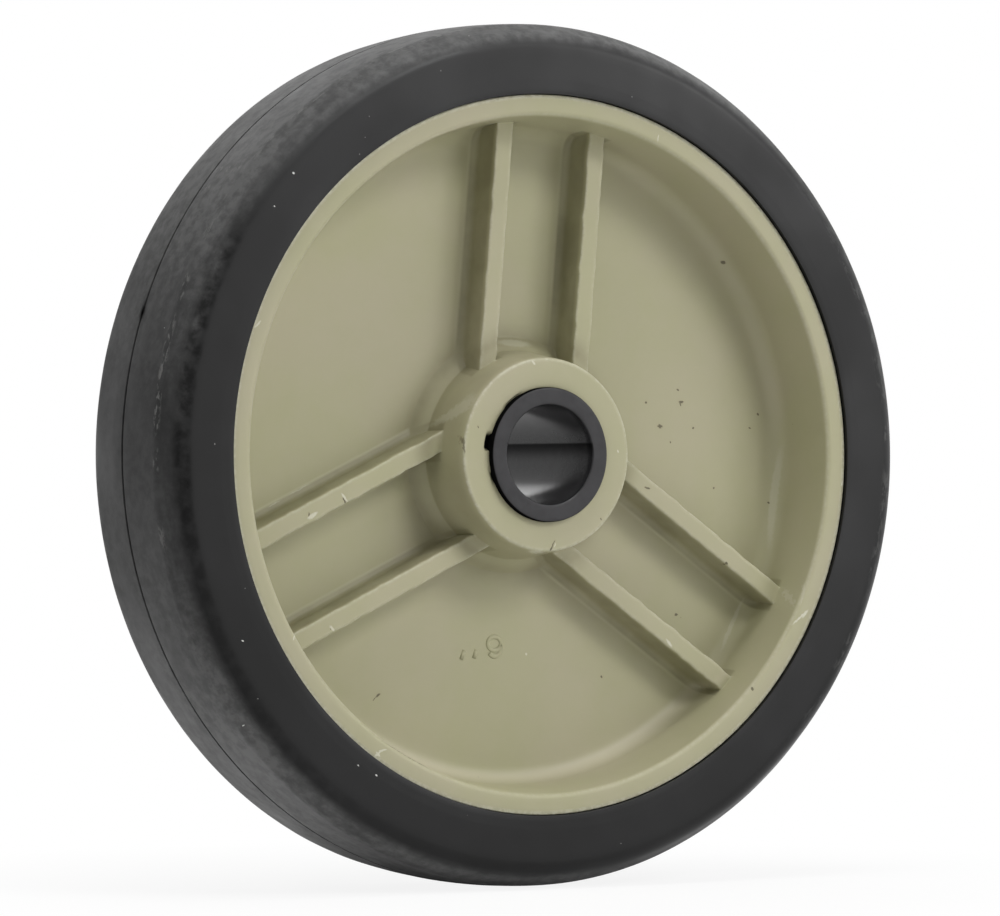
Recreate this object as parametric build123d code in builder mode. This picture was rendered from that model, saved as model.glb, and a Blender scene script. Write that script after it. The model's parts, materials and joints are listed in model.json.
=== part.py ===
"""Replacement wheel: a rubber tyre on a ribbed plastic centre, with a plain bush for the axle.

The wheel spins about Y, +Z is up, and the origin is the middle of the bore.
Both sides are alike, so each section is drawn for one side and mirrored
across the middle plane. Lengths are in millimetres, angles in degrees.
"""

import os
from math import radians, sqrt, tan

from build123d import *

# Tyre
tread_radius = 76.2
tyre_thickness = 13.1
tread_crown = 0.48
tread_edge_to_middle = 10.8
tyre_half_width = 15.875
shoulder_slope = 27.0
shoulder_round = 2.7
tyre_lip_chamfer = 0.45
parting_groove_half_width = 0.2
parting_groove_depth = 0.2

# Rim of the centre, which carries the tyre
rim_half_width = 15.1
rim_lip = 3.7
rim_draft = 6.0
rim_lip_round = 1.0
rim_foot_round = 3.2

# Ridge round the rim that keys into the tyre
key_height = 2.4
key_half_width = 5.0
key_slope = 20.0

# Web between boss and rim, in the middle plane
web_thickness = 3.5

# Broken edges of the centre, on the boss face and round the rim
edge_chamfer = 0.4

# Boss round the bush
boss_wall = 5.15
boss_half_width = 14.5
boss_draft = 8.0
boss_foot_round = 2.4

# Ribs, in pairs from boss to rim on both sides of the web
rib_pair_count = 3
rib_pair_angle = 85.1
rib_inset_from_boss_side = 7.4
rib_height = 6.5
rib_top_width = 3.3
rib_draft = 2.0
rib_foot_round = 1.4

# Bush, pressed into the boss
bore_radius = 8.75
bush_wall = 3.05
bush_stand_out = 1.25
bush_chamfer = 0.3

# Places that follow from the sizes above
bush_radius = bore_radius + bush_wall
bush_half_length = boss_half_width + bush_stand_out
boss_radius = bush_radius + boss_wall
rim_radius = tread_radius - tyre_thickness
web_half = web_thickness / 2
rib_top = web_half + rib_height
rib_spacing = 2 * (boss_radius - rib_inset_from_boss_side)
rim_inner_radius = rim_radius - rim_lip
rim_foot_radius = rim_inner_radius - (rim_half_width - web_half) * tan(radians(rim_draft))
boss_foot_radius = boss_radius + (boss_half_width - web_half) * tan(radians(boss_draft))
key_foot_half_width = key_half_width + key_height * tan(radians(key_slope))
key_radius = rim_radius + key_height
tread_edge_radius = tread_radius - tread_crown
shoulder_drop = (tyre_half_width - tread_edge_to_middle) * tan(radians(shoulder_slope))
shoulder_corner_radius = tread_edge_radius - shoulder_drop

# Ribs start inside the boss wall and end inside the rim wall
rib_foot_width = rib_top_width + 2 * rib_top * tan(radians(rib_draft))
boss_wall_middle = (bush_radius + boss_radius) / 2
rim_wall_middle = (rim_inner_radius + rim_radius) / 2
rib_start = sqrt(boss_wall_middle**2 - (rib_spacing / 2) ** 2)
rib_end = sqrt(rim_wall_middle**2 - (rib_spacing / 2) ** 2)
rib_length = rib_end - rib_start
rib_middle = (rib_start + rib_end) / 2
between_pairs = Plane.XY.rotated((0, 180 / rib_pair_count - rib_pair_angle, 0))

# Tyre: half section drawn from the tread to the seat on the rim, then turned
with BuildPart() as tyre:
    with BuildSketch() as tyre_section:
        with BuildLine():
            groove_side = Line(
                (tread_radius - parting_groove_depth, 0),
                (tread_radius, parting_groove_half_width),
            )
            tread = ThreePointArc(
                groove_side @ 1,
                (tread_radius - tread_crown / 4, tread_edge_to_middle / 2),
                (tread_edge_radius, tread_edge_to_middle),
            )
            shoulder_and_seat = FilletPolyline(
                tread @ 1,
                (shoulder_corner_radius, tyre_half_width),
                (rim_radius, tyre_half_width),
                (rim_radius, key_foot_half_width),
                (key_radius, key_half_width),
                (key_radius, 0),
                radius=[shoulder_round, 0, 0, 0],
            )
            Line(shoulder_and_seat @ 1, groove_side @ 0)
        make_face()
        lip_corner = tyre_section.vertices().group_by(Axis.X)[0].sort_by(Axis.Y)[-1]
        chamfer(lip_corner, tyre_lip_chamfer)
        mirror(about=Plane.XZ)
    revolve(axis=Axis.Y)

# Ribs of one side: drafted bars that stand on the middle plane
with BuildPart() as ribs:
    with BuildSketch(Plane.XZ):
        with PolarLocations(rib_middle, rib_pair_count, start_angle=rib_pair_angle):
            with GridLocations(0, rib_spacing, 1, 2):
                Rectangle(rib_length, rib_foot_width)
    extrude(amount=rib_top, taper=rib_draft)

# Centre: rim, web and boss of one side turned from a section midway between two pairs of
# ribs, so that the seam of the turned faces lies clear of them. The ribs are joined on with
# a round all along their feet, and the other side is the mirror image.
with BuildPart() as wheel_centre:
    with BuildSketch(between_pairs) as centre_section:
        with BuildLine():
            outline = FilletPolyline(
                (bush_radius, 0),
                (bush_radius, -boss_half_width),
                (boss_radius, -boss_half_width),
                (boss_foot_radius, -web_half),
                (rim_foot_radius, -web_half),
                (rim_inner_radius, -rim_half_width),
                (rim_radius, -rim_half_width),
                (rim_radius, -key_foot_half_width),
                (key_radius, -key_half_width),
                (key_radius, 0),
                radius=[0, 0, boss_foot_round, rim_foot_round, rim_lip_round, 0, 0, 0],
            )
            Line(outline @ 1, outline @ 0)
        make_face()
        flats = centre_section.edges().filter_by(Axis.X).sort_by(Axis.X)
        boss_corners = flats[0].vertices()
        rim_corner = flats[-1].vertices().sort_by(Axis.X)[-1]
        chamfer([*boss_corners, rim_corner], edge_chamfer)
    revolve(axis=Axis.Y)
    add(ribs.part)
    fillet(wheel_centre.edges(Select.NEW), rib_foot_round)
    mirror(about=Plane.XZ)

# Bush: a plain sleeve that stands out a little at each end of the boss
with BuildPart() as bush:
    with BuildSketch() as bush_section:
        with Locations((bore_radius + bush_wall / 2, 0)):
            Rectangle(bush_wall, 2 * bush_half_length)
        chamfer(bush_section.vertices(), bush_chamfer)
    revolve(axis=Axis.Y)

os.makedirs("parts", exist_ok=True)
for name, piece in (("tyre", tyre), ("wheel_centre", wheel_centre), ("bush", bush)):
    piece.part.label = name
    export_step(piece.part, f"parts/{name}.step")
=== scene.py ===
"""Looks of a replacement wheel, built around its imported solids.

A rubber tyre sits on a ribbed plastic centre, which turns on a plain plastic
bush. The axle lies along Y, +Z is up and the origin is the middle of the bore.
Shapes and patterns are worked out in millimetres, and meshes are in metres.
"""

import json
import logging
import math
from dataclasses import dataclass, field
from enum import Enum

import bmesh
import bpy
import numpy as np
from mathutils import Matrix, Vector


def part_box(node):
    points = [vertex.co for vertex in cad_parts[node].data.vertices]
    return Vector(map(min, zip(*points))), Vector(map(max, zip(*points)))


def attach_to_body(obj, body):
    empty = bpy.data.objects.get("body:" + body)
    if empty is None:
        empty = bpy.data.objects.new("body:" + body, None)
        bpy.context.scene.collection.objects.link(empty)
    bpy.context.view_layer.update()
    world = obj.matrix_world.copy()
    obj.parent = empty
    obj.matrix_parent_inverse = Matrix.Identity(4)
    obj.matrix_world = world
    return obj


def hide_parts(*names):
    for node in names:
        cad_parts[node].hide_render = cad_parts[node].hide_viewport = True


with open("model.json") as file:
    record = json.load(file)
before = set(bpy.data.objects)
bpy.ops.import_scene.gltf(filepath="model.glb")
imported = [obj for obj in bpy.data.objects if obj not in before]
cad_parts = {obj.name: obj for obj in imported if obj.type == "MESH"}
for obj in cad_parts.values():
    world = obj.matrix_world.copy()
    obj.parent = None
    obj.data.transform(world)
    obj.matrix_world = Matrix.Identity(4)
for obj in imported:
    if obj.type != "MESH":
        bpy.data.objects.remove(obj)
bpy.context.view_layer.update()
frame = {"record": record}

log = logging.getLogger("wheel")

MILLIMETRE = 0.001
# The radius at which patterns that run round the wheel are laid out, about that of the tread.
TREAD_REACH = 76.0
# How far one seed moves a pattern along X, Y and Z, in grains of that pattern.
SEED_STEPS = (7.31, 3.17, 5.73)
# Far more than the wheel's width, so that a mark has no end along the axle.
FAR = 1000.0

Tone = tuple[float, float, float]


class Side(Enum):
    """The two faces of the wheel, by the sign of their Y."""

    FRONT = -1
    BACK = 1


@dataclass(frozen=True)
class Key:
    """The hidden ridge round the rim that holds the tyre: its height, half its top's width and its flanks."""

    height: float = 2.4
    half_width: float = 5.0
    slope: float = 20.0

    @property
    def foot_half_width(self) -> float:
        """Half its width where it leaves the rim."""
        return self.half_width + self.height * math.tan(math.radians(self.slope))


@dataclass(frozen=True)
class FrameSizes:
    """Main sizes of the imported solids, in millimetres."""

    tread_radius: float
    tyre_half_width: float
    key_radius: float
    rim_half_width: float
    bush_radius: float
    bush_half_length: float
    bore_radius: float
    key: Key = Key()

    @property
    def rim_radius(self) -> float:
        """The radius of the rim's seat for the tyre."""
        return self.key_radius - self.key.height

    @classmethod
    def read(cls) -> "FrameSizes":
        """Reads the outer sizes from the nodes' boxes and the bore from its mount.

        Returns:
            The sizes that the new meshes share with the solids.
        """
        tyre, centre, bush = (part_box(node)[1] / MILLIMETRE for node in ("tyre", "wheel_centre", "bush"))
        bore = next(m for m in frame["record"]["mounts"] if m["name"] == "axle_bore")
        return cls(tyre.z, tyre.y, centre.z, centre.y, bush.z, bush.y, bore["dims"]["r_mm"])


@dataclass(frozen=True)
class Corner:
    """A corner of a section: where it is, its round, and the longest step on the run that leads to it."""

    radius: float
    depth: float
    round: float = 0.0
    step: float = 2.0
    arc_spans: int = 5


def straight_run(start: np.ndarray, end: np.ndarray, spacing: float) -> np.ndarray:
    """Divides a straight run evenly: each point is start + share * (end - start).

    Args:
        start: First point, which is left out.
        end: Last point, which is kept.
        spacing: The longest step between two points.

    Returns:
        The points after the first one.
    """
    count = max(1, math.ceil(np.linalg.norm(end - start) / spacing))
    share = np.linspace(0, 1, count + 1)[1:, None]
    return start + share * (end - start)


def tangent_arc(
    before: np.ndarray, corner: np.ndarray, after: np.ndarray, radius: float, spans: int
) -> np.ndarray:
    """Rounds one corner with an arc that touches both of its sides.

    With half the corner's inner angle, the arc starts radius / tan(half) from
    the corner and its centre lies radius / sin(half) away along the bisector.
    Its points are the spherical blend of the two radii at even angles.

    Args:
        before: The corner before this one.
        corner: The corner itself.
        after: The corner after this one.
        radius: The radius of the arc.
        spans: How many straight spans stand for the arc.

    Returns:
        The arc's points, with both ends.
    """
    back = (before - corner) / np.linalg.norm(before - corner)
    ahead = (after - corner) / np.linalg.norm(after - corner)
    half = math.acos(float(back @ ahead)) / 2
    bisector = (back + ahead) / np.linalg.norm(back + ahead)
    centre = corner + bisector * radius / math.sin(half)
    first = corner + back * radius / math.tan(half) - centre
    last = corner + ahead * radius / math.tan(half) - centre
    sweep = math.pi - 2 * half
    share = np.linspace(0, 1, spans + 1)[:, None]
    return centre + (np.sin((1 - share) * sweep) * first + np.sin(share * sweep) * last) / math.sin(sweep)


def rounded_path(corners: list[Corner]) -> np.ndarray:
    """Joins straight runs with arcs at the corners that have a round.

    Args:
        corners: The path's corners in order. The first and last have no round.

    Returns:
        Points as rows of distance from the axle and distance from the middle plane.
    """
    places = np.array([(c.radius, c.depth) for c in corners])
    path = places[:1]
    for index, corner in enumerate(corners[1:], start=1):
        bend = places[index][None, :]
        if corner.round > 0:
            bend = tangent_arc(*places[index - 1 : index + 2], corner.round, corner.arc_spans)
        path = np.concatenate([path, straight_run(path[-1], bend[0], corner.step), bend[1:]])
    return path


def both_sides(path: np.ndarray) -> np.ndarray:
    """Closes a section: the front half as given, then the back half as its mirror image.

    Args:
        path: Half section, from the middle plane round to the middle plane.

    Returns:
        Rows of distance from the axle and Y, as one closed loop.
    """
    front = path * np.array([1, Side.FRONT.value])
    back = path[::-1][1:-1] * np.array([1, Side.BACK.value])
    return np.concatenate([front, back])


def turned(radius: np.ndarray, along: np.ndarray, angles: np.ndarray) -> np.ndarray:
    """Turns points about the axle: x = radius cos(angle), y as it is, z = radius sin(angle).

    Args:
        radius: Distances from the axle.
        along: Places along Y.
        angles: Angles from X towards Z, in radians.

    Returns:
        Points on the grid that the three make together.
    """
    radius, along, angles = np.broadcast_arrays(radius, along, angles)
    return np.stack([radius * np.cos(angles), along, radius * np.sin(angles)], axis=-1)


def closed_grid_object(
    name: str, grid: np.ndarray, sharp_angle: float, masks: dict[str, np.ndarray] | None = None
) -> bpy.types.Object:
    """Makes a mesh from a grid that closes on itself in both directions.

    Args:
        name: The piece's name.
        grid: Points in millimetres, as rows by columns by three.
        sharp_angle: Edges that turn by more than this many degrees stay sharp.
        masks: Numbers from 0 to 1 for each point, which the material reads by name.

    Returns:
        The new object, linked to the scene, at the origin.
    """
    rows, columns = grid.shape[:2]
    index = np.arange(rows * columns).reshape(rows, columns)
    beside, below = np.roll(index, -1, axis=1), np.roll(index, -1, axis=0)
    quads = np.stack([index, beside, np.roll(beside, -1, axis=0), below], axis=-1).reshape(-1, 4)
    points = grid.reshape(-1, 3) * MILLIMETRE
    corners = points[quads]
    volume = np.einsum("ij,ij->i", corners[:, 0], np.cross(corners[:, 1], corners[:, 2])).sum()
    if volume < 0:
        quads = quads[:, ::-1]
    mesh = bpy.data.meshes.new(name)
    mesh.vertices.add(len(points))
    mesh.vertices.foreach_set("co", points.astype(np.float32).ravel())
    mesh.loops.add(quads.size)
    mesh.loops.foreach_set("vertex_index", quads.astype(np.int32).ravel())
    mesh.polygons.add(len(quads))
    mesh.polygons.foreach_set("loop_start", np.arange(0, quads.size, 4, dtype=np.int32))
    mesh.update(calc_edges=True)
    mesh.shade_smooth()
    mesh.set_sharp_from_angle(angle=math.radians(sharp_angle))
    for mask, numbers in (masks or {}).items():
        layer = mesh.attributes.new(mask, "FLOAT", "POINT")
        layer.data.foreach_set("value", numbers.astype(np.float32).ravel())
    piece = bpy.data.objects.new(name, mesh)
    bpy.context.scene.collection.objects.link(piece)
    return piece


def attach(piece: bpy.types.Object, node: str | None, slot: str, material: bpy.types.Material) -> None:
    """Dresses a piece and ties it to the frame.

    Args:
        piece: The finished piece.
        node: The solid that it stands for, or None for one that only sits on a solid.
        slot: The record's material slot.
        material: The piece's material.
    """
    piece.data.materials.clear()
    piece.data.materials.append(material)
    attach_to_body(piece, "root")
    if node is not None:
        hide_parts(node)
    log.info("%s: %d faces, slot %s", piece.name, len(piece.data.polygons), slot)


class Value:
    """A number or colour that comes out of a node, on which Python arithmetic adds Math nodes."""

    def __init__(self, nodes: "Nodes", socket: bpy.types.NodeSocket) -> None:
        """Keeps the socket and the tree that it belongs to."""
        self.nodes = nodes
        self.socket = socket

    def _math(self, operation: str, *others: "Value | float") -> "Value":
        """Adds a Math node on this value and the others."""
        return self.nodes.node("ShaderNodeMath", {"operation": operation}, dict(enumerate((self, *others))))

    def __add__(self, other: "Value | float") -> "Value":
        """This value plus another."""
        return self._math("ADD", other)

    def __sub__(self, other: "Value | float") -> "Value":
        """This value minus another."""
        return self._math("SUBTRACT", other)

    def __mul__(self, other: "Value | float") -> "Value":
        """This value times another."""
        return self._math("MULTIPLY", other)

    def __truediv__(self, other: "Value | float") -> "Value":
        """This value divided by another."""
        return self._math("DIVIDE", other)

    def __rsub__(self, other: float) -> "Value":
        """A number minus this value."""
        return self.nodes.node("ShaderNodeMath", {"operation": "SUBTRACT"}, {0: other, 1: self})

    __radd__ = __add__
    __rmul__ = __mul__

    def power(self, exponent: float) -> "Value":
        """This value raised to a power."""
        return self._math("POWER", exponent)

    def size(self) -> "Value":
        """This value without its sign."""
        return self._math("ABSOLUTE")

    def larger(self, other: "Value | float") -> "Value":
        """The larger of this value and another."""
        return self._math("MAXIMUM", other)

    def smaller(self, other: "Value | float") -> "Value":
        """The smaller of this value and another."""
        return self._math("MINIMUM", other)

    def over(self, floor: float) -> "Value":
        """This value, which runs from 0 to 1, brought between a floor and 1."""
        return floor + (1 - floor) * self

    def rise(self, low: float, high: float) -> "Value":
        """A smooth step between two levels.

        Args:
            low: The value at which it is 0.
            high: The value at which it is 1, which may be below the other.

        Returns:
            The step.
        """
        flip = low > high
        low, high = min(low, high), max(low, high)
        step = self.nodes.node(
            "ShaderNodeMapRange",
            {"interpolation_type": "SMOOTHSTEP"},
            {"Value": self, "From Min": low, "From Max": high},
        )
        return 1 - step if flip else step


class Nodes:
    """A tree whose nodes all come from one method."""

    def __init__(self, tree: bpy.types.NodeTree, output: str) -> None:
        """Empties the tree but for an output of the given type."""
        self.tree = tree
        self.tree.nodes.clear()
        self.output = self.tree.nodes.new(output)

    def node(
        self, kind: str, settings: dict | None = None, sockets: dict | None = None, output: int | str = 0
    ) -> Value:
        """Adds a node.

        Args:
            kind: The node's type.
            settings: Its properties by name.
            sockets: Values or links of its inputs, by name or number.
            output: The output that is wanted.

        Returns:
            That output.
        """
        node = self.tree.nodes.new(kind)
        for key, value in (settings or {}).items():
            setattr(node, key, value)
        for key, value in (sockets or {}).items():
            if isinstance(value, Value):
                self.tree.links.new(value.socket, node.inputs[key])
            else:
                node.inputs[key].default_value = value
        return Value(self, node.outputs[output])

    def rays(self) -> list[Value]:
        """Whether a ray is the camera's, whether it is mirrored, and whether it came through glass."""
        kinds = ("Is Camera Ray", "Is Glossy Ray", "Is Transmission Ray")
        return [self.node("ShaderNodeLightPath", output=kind) for kind in kinds]

    def close(self, surface: Value) -> None:
        """Links a shader to the output."""
        self.tree.links.new(surface.socket, self.output.inputs["Surface"])


@dataclass(frozen=True)
class Mark:
    """A small mark on the front: its middle, half its length and width, and its turn in degrees."""

    x: float
    z: float
    half_length: float
    half_width: float
    turn: float = 0.0


@dataclass(frozen=True)
class Pattern:
    """A soft noise about 0.5.

    The grain is the size of its largest marks in millimetres, and the seed
    picks one pattern of its kind. Between the two levels it rises from 0 to 1,
    and without them it is left as it is. The detail is the number of its finer
    layers, and rough is how strong they are.
    """

    grain: float
    seed: float
    levels: tuple[float, float] | None = None
    detail: float = 3.0
    rough: float = 0.55


@dataclass(frozen=True)
class SpeckNet:
    """Small specks, one in each cell of a loose net: the net's mean spacing, their radius and a seed."""

    spacing: float
    radius: float
    seed: float


class Shader(Nodes):
    """One material and the nodes that feed it, with positions in millimetres."""

    push: float = 0.45
    push_grain: float = 0.7
    mark_blur: float = 0.35
    gap_tone: tuple[float, float, float, float] = (0.004, 0.004, 0.004, 1)

    def __init__(self, name: str) -> None:
        """Starts a material and works out the surface's place in it.

        Args:
            name: The material's name.
        """
        self.material = bpy.data.materials.new(name)
        self.material.use_nodes = True
        super().__init__(self.material.node_tree, "ShaderNodeOutputMaterial")
        place = self.node("ShaderNodeTexCoord", output="Object")
        self.place = self.vector("MULTIPLY", place, (1 / MILLIMETRE,) * 3)
        self.x, self.y, self.z = (
            self.node("ShaderNodeSeparateXYZ", sockets={"Vector": self.place}, output=axis) for axis in "XYZ"
        )
        self.ragged = self.pushed_place()

    def vector(self, operation: str, *parts: "Value | tuple[float, ...]", output: str = "Vector") -> Value:
        """Adds a Vector Math node on the parts."""
        return self.node("ShaderNodeVectorMath", {"operation": operation}, dict(enumerate(parts)), output)

    def pushed_place(self) -> Value:
        """The surface's place plus the push times noise less a half.

        Returns:
            The place, at which marks come out with uneven edges.
        """
        noise = self.node(
            "ShaderNodeTexNoise",
            sockets={"Vector": self.place, "Scale": 1 / self.push_grain, "Detail": 2.0},
            output="Color",
        )
        centred = self.vector("SUBTRACT", noise, (0.5,) * 3)
        return self.vector("MULTIPLY_ADD", centred, (self.push,) * 3, self.place)

    def radius(self) -> Value:
        """The distance from the axle, as the root of x squared plus z squared."""
        return (self.x * self.x + self.z * self.z).power(0.5)

    def moved(self, place: Value, grain: float, seed: float) -> Value:
        """A place divided by a grain and moved by a seed, so each pattern reads its own part of the noise."""
        return self.vector("MULTIPLY_ADD", place, (1 / grain,) * 3, tuple(seed * step for step in SEED_STEPS))

    def noise(self, pattern: Pattern, place: Value | None = None) -> Value:
        """Adds a noise.

        Args:
            pattern: Which noise it is.
            place: Where it is read, if not at the surface's own place.

        Returns:
            The noise, raised between its levels where it has them.
        """
        fac = self.node(
            "ShaderNodeTexNoise",
            sockets={
                "Vector": self.moved(place or self.place, pattern.grain, pattern.seed),
                "Scale": 1.0,
                "Detail": pattern.detail,
                "Roughness": pattern.rough,
            },
            output="Fac",
        )
        return fac.rise(*pattern.levels) if pattern.levels else fac

    def specks(self, net: SpeckNet) -> Value:
        """Small uneven specks, 1 at their middle and 0 from their radius on.

        Args:
            net: Their spacing, radius and seed.

        Returns:
            The mask of the specks.
        """
        distance = self.node(
            "ShaderNodeTexVoronoi",
            sockets={"Vector": self.moved(self.ragged, net.spacing, net.seed), "Scale": 1.0},
            output="Distance",
        )
        return distance.rise(net.radius / net.spacing, 0.3 * net.radius / net.spacing)

    def mask(self, name: str) -> Value:
        """A number that the mesh holds for each of its points."""
        return self.node("ShaderNodeAttribute", {"attribute_name": name}, output="Fac")

    def ringwise(self, stretch: float) -> Value:
        """A place for patterns that run round the wheel.

        The direction from the axle, at a fixed radius, is divided by the
        stretch, and the sum of Y and the distance from the axle stands for
        the way across, so marks come out longer round the wheel.

        Args:
            stretch: How many times longer the marks are round the wheel.

        Returns:
            The place, in millimetres.
        """
        radius = self.radius()
        scale = TREAD_REACH / stretch
        return self.node(
            "ShaderNodeCombineXYZ",
            sockets={"X": self.x / radius * scale, "Y": self.y + radius, "Z": self.z / radius * scale},
            output="Vector",
        )

    def mix(self, factor: Value | float, first: Value | tuple, second: Value | tuple) -> Value:
        """Mixes two colours.

        Args:
            factor: The share of the second colour.
            first: A colour, or three numbers.
            second: A colour, or three numbers.

        Returns:
            The mixed colour.
        """
        first, second = (c if isinstance(c, Value) else (*c, 1) for c in (first, second))
        return self.node("ShaderNodeMix", {"data_type": "RGBA"}, {0: factor, 6: first, 7: second}, 2)

    def marks(self, marks: tuple[Mark, ...]) -> Value:
        """Small uneven marks seen from the front, 1 inside them and 0 outside.

        A mapping brings each long round mark to a circle of radius 1, so the
        distance from its middle is 1 on its edge, and the nearest one counts.

        Args:
            marks: The marks.

        Returns:
            The mask of all of them, on the front face only.
        """
        nearest = None
        for mark in marks:
            local = self.node(
                "ShaderNodeMapping",
                {"vector_type": "TEXTURE"},
                {
                    "Vector": self.ragged,
                    "Location": (mark.x, 0, mark.z),
                    "Rotation": (0, -math.radians(mark.turn), 0),
                    "Scale": (mark.half_length, FAR, mark.half_width),
                },
                "Vector",
            )
            away = self.vector("LENGTH", local, output="Value")
            nearest = away if nearest is None else nearest.smaller(away)
        return nearest.rise(1 + self.mark_blur, 1 - self.mark_blur) * self.y.rise(0.0, -1.0)

    def finish(
        self,
        base: Value,
        roughness: Value,
        bump: Value,
        bump_height: float,
        black: Value,
        ior: float,
        specular: float,
    ) -> bpy.types.Material:
        """Closes the material with its surface shader, and a dull black one where it is black.

        Args:
            base: The base colour.
            roughness: The roughness.
            bump: The height pattern, about 0 to 1.
            bump_height: What a height of 1 stands for, in millimetres.
            black: The share of dull black, for gaps, blots and painted shade that catch no sheen.
            ior: The index of refraction.
            specular: The level of the sheen, where 0.5 is the plain one.

        Returns:
            The material.
        """
        normal = self.node(
            "ShaderNodeBump",
            sockets={"Height": bump, "Strength": 1.0, "Distance": bump_height * MILLIMETRE},
            output="Normal",
        )
        surface = self.node(
            "ShaderNodeBsdfPrincipled",
            sockets={
                "Base Color": base,
                "Roughness": roughness,
                "Normal": normal,
                "IOR": ior,
                "Specular IOR Level": specular,
            },
            output="BSDF",
        )
        dull = self.node("ShaderNodeBsdfDiffuse", sockets={"Color": self.gap_tone}, output="BSDF")
        self.close(self.node("ShaderNodeMixShader", sockets={0: black, 1: surface, 2: dull}, output="Shader"))
        return self.material


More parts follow.
